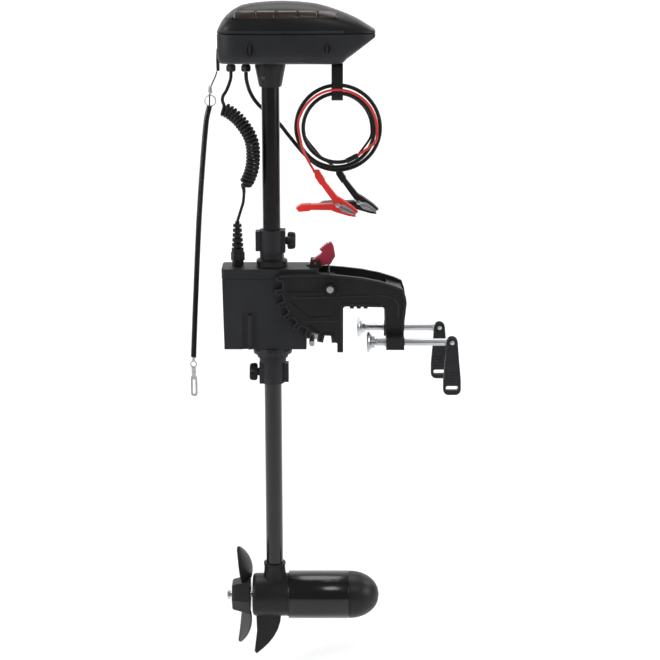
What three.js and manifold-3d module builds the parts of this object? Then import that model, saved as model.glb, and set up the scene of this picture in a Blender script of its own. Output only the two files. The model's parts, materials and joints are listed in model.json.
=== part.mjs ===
// Transom-mount electric trolling motor: head, shaft, steering housing, tilt clamp, motor pod and cords.
// Millimetres, +Z up, +X towards the boat. The origin is on the face that bears on the transom.
import * as THREE from "three";
import { mergeVertices } from "three/addons/utils/BufferGeometryUtils.js";
import Module from "manifold-3d";

const wasm = await Module();
wasm.setup();

// ---------- driving dimensions ----------
const GAP = 0.3;
const SHAFT = { x: -115.4, r: 14.3, wall: 2, top: 452, bottom: -436 };
const BORE = SHAFT.r + GAP;
const HEAD = { x: -73, bottom: 434, seam: 482, wall: 3 };
const PIVOT = { x: -21.1, z: 77.6, r: 4 };
const PLATE = { inner: 30, outer: 36, toothTip: 90, notch: 78 };
const NOTCH = { first: -4, pitch: 15.2, count: 7 };
const LOCK = { angle: 72, radius: 95.5, r: 4.5 };
const LEVER = { x: -45, z: 114 };
const HOUSING = { x0: -195, x1: -59.5, bottom: -25.3, seam: 91.8, top: 107.8, half: 28, wall: 3.5 };
const SLEEVE = { r: 17, top: 131, bottom: -52.8 };
const GEAR = { teeth: 36, module: 1.25, z0: 66, z1: 78, centres: 30.6 };
const PINION_TEETH = 12;
const CLIP = { width: 16, scale: 0.85 };
const RELIEF_X = -170.6;
const GLANDS = [-177, -153.4];
const SCREW = { y: 48, z: -7.5, r: 6.3, head: 17.5 };
const HANDLE = { length: 88, thick: 12 };
const POD = { z: -468, r: 40.7, wall: 3, rear: -153, split: -91.7, nose: 10.6, tip: 62.7, rearR: 36.5 };
const BLADE = { length: 88, chord: 42, thick: 3.6 };
const COIL = { x: -10, z: 331, major: 63, minor: 11.5 };

// ---------- geometry helpers ----------
function solid(geometry) {
  const g = geometry.index ? geometry : geometry.clone();
  g.deleteAttribute("normal");
  g.deleteAttribute("uv");
  const merged = mergeVertices(g, 1e-4);
  const vertProperties = new Float32Array(merged.attributes.position.array);
  const triVerts = new Uint32Array(merged.index.array);
  return new wasm.Manifold(new wasm.Mesh({ numProp: 3, vertProperties, triVerts }));
}

function shapeOf(body) {
  const mesh = body.getMesh();
  const geometry = new THREE.BufferGeometry();
  const corners = new Float32Array(mesh.numVert * 3);
  for (let i = 0; i < mesh.numVert; i += 1) {
    for (let k = 0; k < 3; k += 1) {
      corners[3 * i + k] = mesh.vertProperties[mesh.numProp * i + k];
    }
  }
  geometry.setAttribute("position", new THREE.BufferAttribute(corners, 3));
  geometry.setIndex(new THREE.BufferAttribute(new Uint32Array(mesh.triVerts), 1));
  return geometry;
}

const join = (first, ...rest) => rest.reduce((a, b) => a.add(b), first);
const cut = (first, ...rest) => rest.reduce((a, b) => a.subtract(b), first);
const common = (first, ...rest) => rest.reduce((a, b) => a.intersect(b), first);

function box(x0, x1, y0, y1, z0, z1) {
  const g = new THREE.BoxGeometry(x1 - x0, y1 - y0, z1 - z0);
  return solid(g.translate((x0 + x1) / 2, (y0 + y1) / 2, (z0 + z1) / 2));
}

// Turns geometry made along +Z so that it runs along the named axis.
function along(geometry, axis) {
  if (axis === "x") {
    geometry.rotateY(Math.PI / 2);
  }
  if (axis === "y") {
    geometry.rotateX(-Math.PI / 2);
  }
  return geometry;
}

// A solid of revolution: profile is [radius, height] pairs along the axis through (x, y, z).
function turned(profile, axis, at, sides = 16) {
  const points = profile.map(([r, h]) => new THREE.Vector2(r, h));
  const g = new THREE.LatheGeometry(points, sides);
  g.rotateX(Math.PI / 2);
  return solid(along(g, axis).translate(...at));
}

function rod(axis, r, from, to, at, sides = 12) {
  return turned([[0, from], [r, from], [r, to], [0, to]], axis, at, sides);
}

function ring(axis, inner, outer, from, to, at, sides = 16) {
  const profile = [[inner, from], [outer, from], [outer, to], [inner, to], [inner, from]];
  return turned(profile, axis, at, sides);
}

function outline(points) {
  return new THREE.Shape(points.map(([a, b]) => new THREE.Vector2(a, b)));
}

function extruded(points, depth) {
  return new THREE.ExtrudeGeometry(outline(points), { depth, bevelEnabled: false });
}

// Plates cut from an outline, standing in the XZ plane, lying in the XY plane or facing along X.
function plateXZ(points, y0, y1) {
  return solid(extruded(points, y1 - y0).rotateX(Math.PI / 2).translate(0, y1, 0));
}

function plateXY(points, z0, z1) {
  return solid(extruded(points, z1 - z0).translate(0, 0, z0));
}

function plateYZ(points, x0, x1) {
  const g = extruded(points, x1 - x0);
  const turn = new THREE.Matrix4().makeBasis(
    new THREE.Vector3(0, 1, 0),
    new THREE.Vector3(0, 0, 1),
    new THREE.Vector3(1, 0, 0),
  );
  return solid(g.applyMatrix4(turn).translate(x0, 0, 0));
}

function arc(cx, cz, r, from, to, steps) {
  const points = [];
  for (let i = 0; i <= steps; i += 1) {
    const t = THREE.MathUtils.degToRad(from + ((to - from) * i) / steps);
    points.push([cx + r * Math.cos(t), cz + r * Math.sin(t)]);
  }
  return points;
}

// A rounded rectangle in two coordinates.
function rounded(x0, x1, z0, z1, r, steps = 4) {
  return [
    ...arc(x1 - r, z1 - r, r, 0, 90, steps),
    ...arc(x0 + r, z1 - r, r, 90, 180, steps),
    ...arc(x0 + r, z0 + r, r, 180, 270, steps),
    ...arc(x1 - r, z0 + r, r, 270, 360, steps),
  ];
}

// A round tube through [x, y, z] points.
function tube(points, r, sides, steps) {
  const knots = points.map((p) => new THREE.Vector3(...p));
  const curve = new THREE.CatmullRomCurve3(knots, false, "centripetal");
  const section = new THREE.Shape(arc(0, 0, r, 0, 360 - 360 / sides, sides - 1)
    .map(([a, b]) => new THREE.Vector2(a, b)));
  const g = new THREE.ExtrudeGeometry(section, { steps, extrudePath: curve, bevelEnabled: false });
  return solid(g);
}

function moved(body, x, y, z) {
  return solid(shapeOf(body).translate(x, y, z));
}

function mirroredY(body) {
  const g = shapeOf(body);
  const p = g.attributes.position;
  for (let i = 0; i < p.count; i += 1) {
    p.setY(i, -p.getY(i));
  }
  const index = g.index.array;
  for (let i = 0; i < index.length; i += 3) {
    [index[i + 1], index[i + 2]] = [index[i + 2], index[i + 1]];
  }
  return solid(g);
}

// ---------- materials ----------
const FINISH = {
  gloss_black: { color: 0x0d0e10, roughness: 0.3, metalness: 0 },
  satin_black: { color: 0x141518, roughness: 0.55, metalness: 0 },
  charcoal: { color: 0x1f2124, roughness: 0.65, metalness: 0 },
  smoke: { color: 0x3a2c24, roughness: 0.2, metalness: 0 },
  zinc: { color: 0xb9bcc0, roughness: 0.35, metalness: 1 },
  brass: { color: 0xb08d4a, roughness: 0.4, metalness: 1 },
  copper: { color: 0xa9633a, roughness: 0.45, metalness: 1 },
  crimson: { color: 0x9d1f33, roughness: 0.45, metalness: 0 },
  green: { color: 0x1f5a38, roughness: 0.5, metalness: 0 },
  ferrite: { color: 0x303236, roughness: 0.7, metalness: 0 },
  rubber: { color: 0x101113, roughness: 0.8, metalness: 0 },
  red_rubber: { color: 0xa3202b, roughness: 0.6, metalness: 0 },
};

const group = new THREE.Group();

function add(name, finish, body) {
  const mesh = new THREE.Mesh(shapeOf(body), new THREE.MeshStandardMaterial(FINISH[finish]));
  mesh.name = name;
  group.add(mesh);
}

// ---------- head ----------
// The head's outer form, or the same form drawn in by an even inset.
function headForm(inset) {
  const pull = (x, z) => [
    HEAD.x + (x - HEAD.x) * (1 - inset / 123),
    HEAD.seam + (z - HEAD.seam) * (1 - inset / 47),
  ];
  const side = [
    [-196, 484], [-195.2, 441], [-191, 434], [-8, 434], [5, 442], [49, 475], [49, 486],
    [44, 488], [19, 504], [-10, 515.8], [-43, 525.4], [-82, 529.1], [-116, 529.1],
    [-152, 525.4], [-170, 518], [-183, 508],
  ].map(([x, z]) => pull(x, z));
  const half = [
    [49, 30], [30, 41], [-10, 51], [-60, 57], [-120, 57.5], [-168, 54], [-188, 46], [-196.5, 34],
  ];
  const plan = [...half, ...half.map(([x, y]) => [x, -y]).reverse()]
    .map(([x, y]) => [pull(x, 0)[0], y * (1 - inset / 57)]);
  const section = [
    [-50, 434], [50, 434], [57, 442], [57.5, 490], [53, 506], [42, 519], [24, 527], [8, 529.5],
    [-8, 529.5], [-24, 527], [-42, 519], [-53, 506], [-57.5, 490], [-57, 442],
  ].map(([y, z]) => [y * (1 - inset / 57), pull(0, z)[1]]);
  return common(plateXZ(side, -60, 60), plateXY(plan, 430, 534), plateYZ(section, -200, 55));
}

function headParts() {
  const outer = headForm(0);
  const inner = headForm(HEAD.wall);
  const shaftBore = rod("z", BORE, 420, 460, [SHAFT.x, 0, 0], 24);
  const below = box(-210, 60, -70, 70, 400, HEAD.seam - GAP / 2);
  const above = box(-210, 60, -70, 70, HEAD.seam + GAP / 2, 540);
  const stripOutline = [
    [-184, 505], [-8, 507], [-8, 516], [-60, 516.5], [-120, 515.5], [-184, 510.5],
  ];
  const screws = [];
  for (const x of [-144, -25]) {
    for (const y of [-41, 41]) {
      screws.push(rod("z", 3.6, HEAD.bottom - 2, HEAD.bottom + 3, [x, y, 0], 12));
    }
  }
  const lug = plateXZ(rounded(-201.5, -195, 421, 458, 2.4, 2), -7, 7)
    .subtract(rod("y", 1.6, -10, 10, [-199.2, 0, 426], 12));
  const recesses = [];
  for (const [x, z, w, h] of [[-144, 458, 6, 10.5], [-25, 460, 5.5, 7]]) {
    for (const side of [-1, 1]) {
      const y = side * (x < -100 ? 57.5 : 53.5);
      recesses.push(plateXZ(rounded(x - w, x + w, z - h, z + h, 5), y - 1.6, y + 1.6));
    }
  }
  const glandHoles = GLANDS.map((x) => rod("z", 4.3, 425, 445, [x, 0, 0], 16));
  const nearSide = (points) => plateXZ(points, -60, 0);
  const seat = common(nearSide(stripOutline), outer).subtract(headForm(1.7));
  add("head_cover", "satin_black", cut(common(outer, above), inner, seat));
  add("head_base", "charcoal", cut(join(cut(common(outer, below), inner), ...screws, lug),
    shaftBore, ...recesses, ...glandHoles));
  const paneOutline = [
    [-183.5, 505.5], [-8.5, 507.5], [-8.5, 515.5], [-60, 516], [-120, 515], [-183.5, 510],
  ];
  add("window_strip", "smoke", common(nearSide(paneOutline), outer).subtract(headForm(1.4)));
  add("control_board", "green", box(-175, -20, -38, 38, 466, 467.6).subtract(
    rod("z", 18, 460, 470, [SHAFT.x, 0, 0]),
  ));
  const fins = [];
  for (let i = 0; i < 6; i += 1) {
    fins.push(box(-90, -40, -31 + 12 * i, -29 + 12 * i, 446, 460));
  }
  add("speed_controller", "zinc", join(box(-90, -40, -34, 34, 440, 447), ...fins));
}

function headFittings() {
  const boss = turned(
    [[BORE, 396.6], [17, 396.6], [18, 399], [23.5, 426], [24.2, 428.5], [24.2, 433.6], [BORE, 433.6],
      [BORE, 396.6]], "z", [SHAFT.x, 0, 0], 24);
  const screwAt = { x: SHAFT.x - 10, z: 413 };
  const screw = rod("y", 3.2, -20.6, -15, [screwAt.x, 0, screwAt.z], 12);
  add("head_boss", "satin_black", join(boss, screw));
  GLANDS.forEach((x, i) => {
    add(`cord_gland_${i + 1}`, "satin_black", cut(
      join(
        turned([[0, 420.4], [7, 420.4], [8.5, 423], [8.5, 429], [6.5, 430.5], [6.5, 433.7], [0, 433.7]],
          "z", [x, 0, 0], 6),
        rod("z", 4, 432, 441, [x, 0, 0], 16),
      ),
      rod("z", 3.0, 436, 445, [x, 0, 0], 12),
    ));
  });
}

// ---------- shaft and pod ----------
function shaftTube() {
  const inner = SHAFT.r - SHAFT.wall;
  add("shaft_tube", "gloss_black", ring("z", inner, SHAFT.r, SHAFT.bottom, SHAFT.top, [SHAFT.x, 0, 0], 24));
}

function podParts() {
  const at = [0, 0, POD.z];
  const rearCup = turned(
    [[5.6, POD.rear], [33, POD.rear], [POD.rearR, POD.rear + 5], [POD.rearR, POD.split - 3],
      [POD.rearR + 1, POD.split - GAP], [POD.rearR - 3, POD.split - GAP], [POD.rearR - 3.5, POD.rear + 8],
      [11.3, POD.rear + 8], [11.3, POD.rear + 16], [9.3, POD.rear + 16], [9.3, POD.rear + 4],
      [5.6, POD.rear + 4], [5.6, POD.rear]], "x", at, 20);
  const socket = turned(
    [[0, -446], [19, -446], [18, -425], [17.6, -413], [18.6, -411], [18.6, -408], [0, -408]],
    "z", [SHAFT.x, 0, 0], 24);
  const inside = rod("x", POD.rearR - 3.2, POD.rear + 9, POD.split, at, 20);
  const bore = rod("z", BORE, -470, -400, [SHAFT.x, 0, 0], 24);
  add("motor_rear_housing", "satin_black", cut(join(rearCup, socket.subtract(inside)), bore));
  add("motor_sleeve", "gloss_black",
    ring("x", POD.r - POD.wall, POD.r, POD.split, POD.nose - GAP, at, 20));
  const nose = [[0, POD.tip], [6, POD.tip - 1]];
  for (let i = 1; i <= 6; i += 1) {
    const t = i / 6;
    nose.push([POD.r * Math.sqrt(1 - (1 - t) ** 1.8) * 0.985 + 0.2, POD.tip - (POD.tip - POD.nose) * t]);
  }
  nose.push([POD.r - 4, POD.nose], [POD.r - 8, POD.nose + 10], [14, POD.nose + 22], [14, POD.nose],
    [11.3, POD.nose], [11.3, POD.nose + 12], [0, POD.nose + 12]);
  add("nose_cone", "satin_black", turned([...nose].reverse(), "x", at, 20));
  const magnetR = POD.r - POD.wall - 1;
  const magnets = [90, 270].map((middle) => plateYZ([
    ...arc(0, POD.z, magnetR, middle - 62, middle + 62, 7),
    ...arc(0, POD.z, 30.5, middle + 62, middle - 62, 7),
  ], -78, -6));
  add("field_magnets", "ferrite", join(ring("x", 35, magnetR, -79, -76, at, 16), ...magnets));
  add("armature", "copper", turned(
    [[5.1, -76], [22, -76], [29, -70], [29, -18], [22, -12], [13, -12], [13, -2], [5.1, -2], [5.1, -76]],
    "x", at, 24));
  add("rear_bearing", "zinc", ring("x", 5.3, 9, POD.rear + 4.3, POD.rear + 13, at, 20));
  add("front_bearing", "zinc", ring("x", 5.3, 11, POD.nose + 0.3, POD.nose + 8, at, 20));
  add("prop_shaft", "zinc", join(
    rod("x", 4.8, -191.5, POD.nose + 9, at, 20),
    rod("x", 3.4, -197, -191, at, 16),
    rod("z", 1.6, -484, -452, [-181, 0, 0], 10),
  ));
  const fin = [
    [-148, -503.5], [-147, -535], [-151.5, -573], [-148, -577.5], [-138, -569], [-127, -558],
    [-117.5, -545], [-110.5, -531], [-106.5, -517], [-105, -503.5],
  ];
  add("fin", "satin_black", plateXZ(fin, -2.6, 2.6).subtract(rod("x", POD.rearR + GAP, -200, 0, at, 20)));
}

// ---------- propeller ----------
function bladeSolid() {
  const length = BLADE.length;
  const outlinePoints = [];
  const steps = 10;
  for (let i = 0; i <= steps; i += 1) {
    const t = i / steps;
    const width = BLADE.chord * (0.36 + 0.3 * Math.sin(Math.PI * t ** 0.8)) * Math.sqrt(1 - 0.86 * t ** 6);
    outlinePoints.push([width, 20 + (length - 20) * t]);
  }
  const back = outlinePoints.map(([w, h]) => [-0.72 * w, h]).reverse();
  const shape = outline([...outlinePoints, ...back]);
  const g = new THREE.ExtrudeGeometry(shape, { depth: BLADE.thick, bevelEnabled: false });
  g.translate(0, 0, -BLADE.thick / 2);
  const p = g.attributes.position;
  for (let i = 0; i < p.count; i += 1) {
    const across = p.getX(i);
    const out = p.getY(i);
    const t = (out - 20) / (length - 20);
    const pitch = THREE.MathUtils.degToRad(30 - 16 * t);
    const thick = p.getZ(i) * (1.25 - 0.7 * t);
    const x = thick * Math.cos(pitch) + across * Math.sin(pitch) - 14 * t * t;
    const y = -thick * Math.sin(pitch) + across * Math.cos(pitch);
    p.setXYZ(i, x, y, out);
  }
  return g;
}

function propeller() {
  const at = [0, 0, POD.z];
  const hub = turned(
    [[5.2, -188.6], [25, -188.6], [27, -186.5], [34.5, -158], [34.5, POD.rear - 3.9], [13, POD.rear - 3.9],
      [13, -165], [5.2, -165], [5.2, -188.6]], "x", at, 6);
  const blades = [];
  for (const turn of [0, Math.PI]) {
    const g = bladeSolid();
    g.rotateX(turn).translate(-165, 0, POD.z);
    blades.push(solid(g));
  }
  const bore = rod("x", 5.2, -200, -150, at, 20);
  const slot = rod("z", 2.1, -489, -447, [-181, 0, 0], 10);
  add("propeller", "satin_black", cut(join(hub, ...blades), bore, slot));
  add("prop_nut", "zinc", ring("x", 4.3, 8, -196.5, -191.8, at, 6));
}

// ---------- steering housing ----------
function housingParts() {
  const { x0, x1, bottom, seam, top, half, wall } = HOUSING;
  const motorAt = [SHAFT.x + GEAR.centres, 0, 0];
  const form = (inset) => plateXZ([
    [x0 + 2 + inset, bottom + inset], [x1 - inset, bottom + inset], [x1 - inset, seam - GAP],
    [x0 + inset, seam - GAP],
  ], -half + inset, half - inset);
  const inside = form(wall).add(box(x0 + wall, x1 - wall, -half + wall, half - wall, 60, seam + 5));
  const bores = rod("z", SLEEVE.r + GAP, bottom - 5, top + 5, [SHAFT.x, 0, 0], 24);
  const pocket = plateXZ(rounded(-163, -139, -30, 35.7, 3), -half - 2, -half + 2);
  const rib = rod("z", 4, bottom, 32, [-151, -half + 2, 0], 16);
  const cheek = (y0, y1) => plateXZ([
    [-60, 55], ...arc(PIVOT.x, PIVOT.z, 15, -90, 70, 10), [-60, 91.5],
  ], y0, y1);
  const cheeks = join(cheek(11, 26), cheek(-26, -11), box(-63, -56, -26, 26, 40, 91.5));
  const pivotBore = rod("y", PIVOT.r + GAP, -40, 40, [PIVOT.x, 0, PIVOT.z], 20);
  const shell = cut(form(0), inside, pocket);
  add("steering_housing", "charcoal", cut(join(shell, rib, cheeks), bores, pivotBore));

  const lidOutline = rounded(x0 - 1, -39.5, -half, half, 6);
  const lidForm = plateXY(lidOutline, seam + GAP, top);
  const hollow = box(x0 + 4, x1 - 4, -half + 4, half - 4, seam - 5, top - 4);
  const leverSlot = box(-60, -30, -6.3, 6.3, seam - 5, top + 5);
  const cordHole = rod("z", 4.5, seam, top + 5, [RELIEF_X, 0, 0], 16);
  const flangeBore = rod("z", 24.4, 104.5, top + 5, [SHAFT.x, 0, 0], 24);
  const ears = join(
    plateXZ([[-56, top - 1], [-34, top - 1], [-38, top + 12], [-52, top + 12]], 6.6, 11),
    plateXZ([[-56, top - 1], [-34, top - 1], [-38, top + 12], [-52, top + 12]], -11, -6.6),
  );
  const leverBore = rod("y", 2 + GAP, -20, 20, [LEVER.x, 0, LEVER.z], 12);
  const lid = cut(join(lidForm, ears), hollow, leverSlot, cordHole, bores, flangeBore, leverBore);
  add("housing_lid", "charcoal", lid);

  add("steer_motor", "ferrite", rod("z", 12.6, 4, 62, motorAt, 24));

  const nut = turned([[3.2, top + GAP], [9.5, top + GAP], [9.5, 117], [11.5, 117], [11.5, 131],
    [3.2, 131], [3.2, top + GAP]], "z", [RELIEF_X, 0, 0], 6);
  const boot = turned([[3.2, 130], [8.8, 130], [6.2, 174], [5, 180.4], [3.2, 180.4], [3.2, 130]],
    "z", [RELIEF_X, 0, 0], 16);
  add("strain_relief", "rubber", join(nut, boot));
}

// A spur gear outline with straight-sided teeth and generous backlash.
function gearOutline(teeth, phase) {
  const pitch = (GEAR.module * teeth) / 2;
  const points = [];
  for (let i = 0; i < teeth; i += 1) {
    const middle = (2 * Math.PI * (i + phase)) / teeth;
    const step = (2 * Math.PI) / teeth;
    for (const [share, r] of [[-0.25, pitch - 1.2], [-0.1, pitch + 0.95], [0.1, pitch + 0.95],
      [0.25, pitch - 1.2]]) {
      points.push([r * Math.cos(middle + share * step), r * Math.sin(middle + share * step)]);
    }
  }
  return points;
}

function steeringParts() {
  const at = [SHAFT.x, 0, 0];
  add("steer_sleeve", "satin_black", join(
    ring("z", BORE, SLEEVE.r, SLEEVE.bottom, SLEEVE.top, at, 24),
    turned([[SLEEVE.r - 1, 109], [25.2, 109], [25.2, 118], [22, 120], [19.6, 121], [19.6, SLEEVE.top],
      [SLEEVE.r - 1, SLEEVE.top], [SLEEVE.r - 1, 109]], "z", at, 24),
  ));
  const gear = plateXY(gearOutline(GEAR.teeth, 0.5), GEAR.z0, GEAR.z1);
  const gearBore = rod("z", SLEEVE.r + GAP, 0, 100, [0, 0, 0], 24);
  add("steer_gear", "brass", moved(gear.subtract(gearBore), SHAFT.x, 0, 0));
  const pinion = plateXY(gearOutline(PINION_TEETH, 0), GEAR.z0 - 1, GEAR.z1 + 1);
  const hub = rod("z", 4, 62.4, GEAR.z0, [0, 0, 0], 16);
  add("steer_pinion", "zinc", moved(join(pinion, hub), SHAFT.x + GEAR.centres, 0, 0));
  add("lower_bushing", "charcoal", turned(
    [[SLEEVE.r + GAP, -52.4], [22, -52.4], [22, -44.5], [25.3, -44], [25.3, -37.8], [31.5, -37],
      [32.3, -31], [31, -25.8], [SLEEVE.r + GAP, -25.8], [SLEEVE.r + GAP, -52.4]], "z", at, 24));
}

function collar(name, z0, z1, side) {
  const x = SHAFT.x;
  const bore = rod("z", BORE, z0 - 5, z1 + 5, [x, 0, 0], 24);
  const outward = (near, far) => (side > 0 ? [near, far] : [-far, -near]);
  const slab = (near, far, half, from, to) => {
    const [a, b] = outward(near, far);
    return box(x + a, x + b, -half, half, from, to);
  };
  const block = slab(8, 22, 12, z0, z1);
  const back = box(x - side * 22 - 4, x - side * 22 + 4, -9, 9, z0 + 2, z1 - 2);
  const split = slab(5, 30, 1, z0 - 5, z1 + 5);
  const middle = (z0 + z1) / 2;
  const screwHole = rod("x", 3.4, ...outward(12, 40), [x, 0, middle], 12);
  const body = join(rod("z", 19.5, z0, z1, [x, 0, 0], 24), block, back);
  add(name, "charcoal", cut(body, bore, split, screwHole));
}

function knob(name, middle, side) {
  const x = SHAFT.x;
  const outward = (near, far) => (side > 0 ? [near, far] : [-far, -near]);
  const stem = rod("x", 3, ...outward(17, 25), [x, 0, middle], 12);
  const hub = rod("x", 6, ...outward(22.4, 36), [x, 0, middle], 16);
  const lobe = (sign) => rod("x", 6.4, ...outward(25, 38.5), [x, 0, middle + sign * 8.4], 16);
  add(name, "satin_black", join(stem, hub, lobe(1), lobe(-1)));
}

// ---------- tilt lever and lock ----------
function leverParts() {
  const grip = [
    [-55, 111], [-52, 117], [-37, 127.5], [-33.5, 131.5], [-37.5, 135.5], [-27, 144.5], [-19, 147],
    [-15.5, 141], [-12.8, 124.5], [-17, 118], [-20, 112], [-30, 110], [-40, 108.3], [-50, 108.3],
  ];
  const fork = box(-34, -8, -3.2, 3.2, 100, 119.5);
  const leverPin = rod("y", 2, -12.5, 12.5, [LEVER.x, 0, LEVER.z], 12);
  add("tilt_lever", "crimson", join(cut(plateXZ(grip, -6, 6), fork), leverPin));

  const angle = THREE.MathUtils.degToRad(LOCK.angle);
  const bar = { x: PIVOT.x - LOCK.radius * Math.cos(angle), z: PIVOT.z - LOCK.radius * Math.sin(angle) };
  const out = { x: -Math.cos(angle), z: -Math.sin(angle) };
  const corners = (half, from, to) => [
    [PIVOT.x + out.x * from - out.z * half, PIVOT.z + out.z * from + out.x * half],
    [PIVOT.x + out.x * from + out.z * half, PIVOT.z + out.z * from - out.x * half],
    [PIVOT.x + out.x * to + out.z * half, PIVOT.z + out.z * to - out.x * half],
    [PIVOT.x + out.x * to - out.z * half, PIVOT.z + out.z * to + out.x * half],
  ];
  const link = plateXZ(corners(9, -15, LOCK.radius), -2.5, 2.5);
  const slot = plateXZ(corners(4.6, -5.5, 15), -5, 5);
  const cross = rod("y", LOCK.r, -PLATE.outer - 2, PLATE.outer + 2, [bar.x, 0, bar.z], 16);
  const stem = rod("z", 1.9, 86, 113, [-23.5, 0, 0], 12);
  add("tilt_lock", "zinc", join(link.subtract(slot), stem, cross));
}

// ---------- transom clamp ----------
function sidePlate() {
  const { x, z } = PIVOT;
  const disc = [];
  const last = NOTCH.first + NOTCH.pitch * (NOTCH.count - 1);
  for (let i = 0; i < NOTCH.count; i += 1) {
    const middle = 180 + NOTCH.first + NOTCH.pitch * i;
    disc.push(...arc(x, z, PLATE.toothTip, middle - 9, middle - 4.4, 2));
    disc.push(...arc(x, z, PLATE.notch, middle - 3.6, middle + 3.6, 2));
    disc.push(...arc(x, z, PLATE.toothTip, middle + 4.4, middle + 6, 1));
  }
  const lastTip = 180 + last + 8;
  disc.push(...arc(x, z, PLATE.toothTip, lastTip - 1, lastTip, 1));
  const profile = [
    ...disc, [-2, -14], [0, -25], [0, 46], [4, 48.5], [64, 47], [68, 42], [69, 4], [68, -18], [95, -18],
    [98, -2], [99, 23], [102.3, 53.5], [101, 63], [96.4, 76.3], [84, 82], [60, 89.5], [31.6, 95.3],
    [0, 99], [-25, 101], [-80, 102], [-101, 101], [-107, 97],
  ];
  const plate = plateXZ(profile, PLATE.inner, PLATE.outer);
  const block = box(69, 98, PLATE.inner, SCREW.y + 11, -18, 1.5);
  const pivotBore = rod("y", PIVOT.r + GAP, 20, 50, [x, 0, z], 20);
  const screwBore = rod("x", SCREW.r + GAP, 60, 110, [0, SCREW.y, SCREW.z], 24);
  const panels = [
    plateXZ([[-90, 94], [-40, 94], [-40, 72], [-90, 72]], PLATE.outer - 1.6, PLATE.outer + 2),
    plateXZ([[-86, 56], [-13, 56], [-13, 32], [-55, 30]], PLATE.outer - 1.6, PLATE.outer + 2),
    plateXZ([[-58, 18], [-14, 18], [-14, 1], [-34, 1]], PLATE.outer - 1.6, PLATE.outer + 2),
  ];
  const boss = rod("y", 17, PLATE.outer - 2, PLATE.outer + 1.5, [x, 0, z], 28);
  const tooth = [];
  for (const tx of [10, 21, 32]) {
    tooth.push(plateXZ([[tx, 50], [tx + 8, 50], [tx + 7, 45], [tx + 1, 45]], PLATE.inner, PLATE.outer));
  }
  return cut(join(cut(plate, ...panels), block, boss, ...tooth), pivotBore, screwBore);
}

function clampParts() {
  const far = sidePlate();
  add("far_clamp_plate", "satin_black", far);
  add("near_clamp_plate", "satin_black", mirroredY(far));
  const pad = plateYZ(rounded(-29.7, 29.7, -31, 49.5, 4), -9.5, 0);
  add("transom_pad", "satin_black", pad);
  add("arm_crossbar", "satin_black", plateXZ(
    [[70, 30], [98, 30], [100, 53], [94, 73], [70, 80], [66, 60]], -29.7, 29.7));
  add("pivot_bolt", "zinc", join(
    rod("y", PIVOT.r, -40, 44, [PIVOT.x, 0, PIVOT.z], 20),
    rod("y", 8.5, -41.5, -37.9, [PIVOT.x, 0, PIVOT.z], 24),
    rod("y", 5.4, -43.5, -41, [PIVOT.x, 0, PIVOT.z], 20),
    rod("y", 7.5, 37.9, 43.5, [PIVOT.x, 0, PIVOT.z], 6),
  ));
}

function clampScrew(side, sign, discX) {
  const y = sign * SCREW.y;
  const at = [0, y, SCREW.z];
  add(`${side}_pressure_disc`, "zinc", turned(
    [[0, discX - 4], [SCREW.head - 3, discX - 4], [SCREW.head, discX - 1.5], [SCREW.head - 1, discX],
      [10, discX + 4], [9, discX + 9], [5.2, discX + 9], [5.2, discX + 2], [0, discX + 2]], "x", at, 20));
  const end = discX + 124;
  const stem = [[0, discX + 2.4], [4.8, discX + 2.4], [4.8, discX + 10], [SCREW.r, discX + 11.5],
    [SCREW.r, end - 1], [SCREW.r - 1, end], [0, end]];
  const pin = end + 9.5;
  const tang = plateXZ([
    [end - 1, SCREW.z - 5.5], [pin, SCREW.z - 5.5], ...arc(pin, SCREW.z, 5.5, -60, 60, 5),
    [end - 1, SCREW.z + 5.5]], y - 2.5, y + 2.5);
  const pinHole = rod("y", 2.2, y - 10, y + 10, [pin, 0, SCREW.z], 12);
  add(`${side}_clamp_screw`, "zinc", cut(join(turned(stem, "x", at), tang), pinHole));

  const bottom = SCREW.z - HANDLE.length;
  const grip = [
    ...arc(pin, SCREW.z, 8.5, 20, 160, 6), [pin - 9, -40], [pin - 11, -70], [pin - 8, bottom + 4],
    [pin - 5, bottom], [pin + 14, bottom], [pin + 17, bottom + 5], [pin + 15, -70], [pin + 10, -40],
  ];
  const slot = box(pin - 5, pin + 10, y - 10, y + 10, bottom + 8, bottom + 14);
  const forkGap = box(pin - 20, pin + 20, y - 2.9, y + 2.9, SCREW.z - 10, SCREW.z + 20);
  const paddle = plateXZ(grip, y - HANDLE.thick / 2, y + HANDLE.thick / 2);
  add(`${side}_handle`, "charcoal", join(
    cut(paddle, slot, forkGap), rod("y", 1.8, y - 7, y + 7, [pin, 0, SCREW.z], 12)));
}

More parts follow.
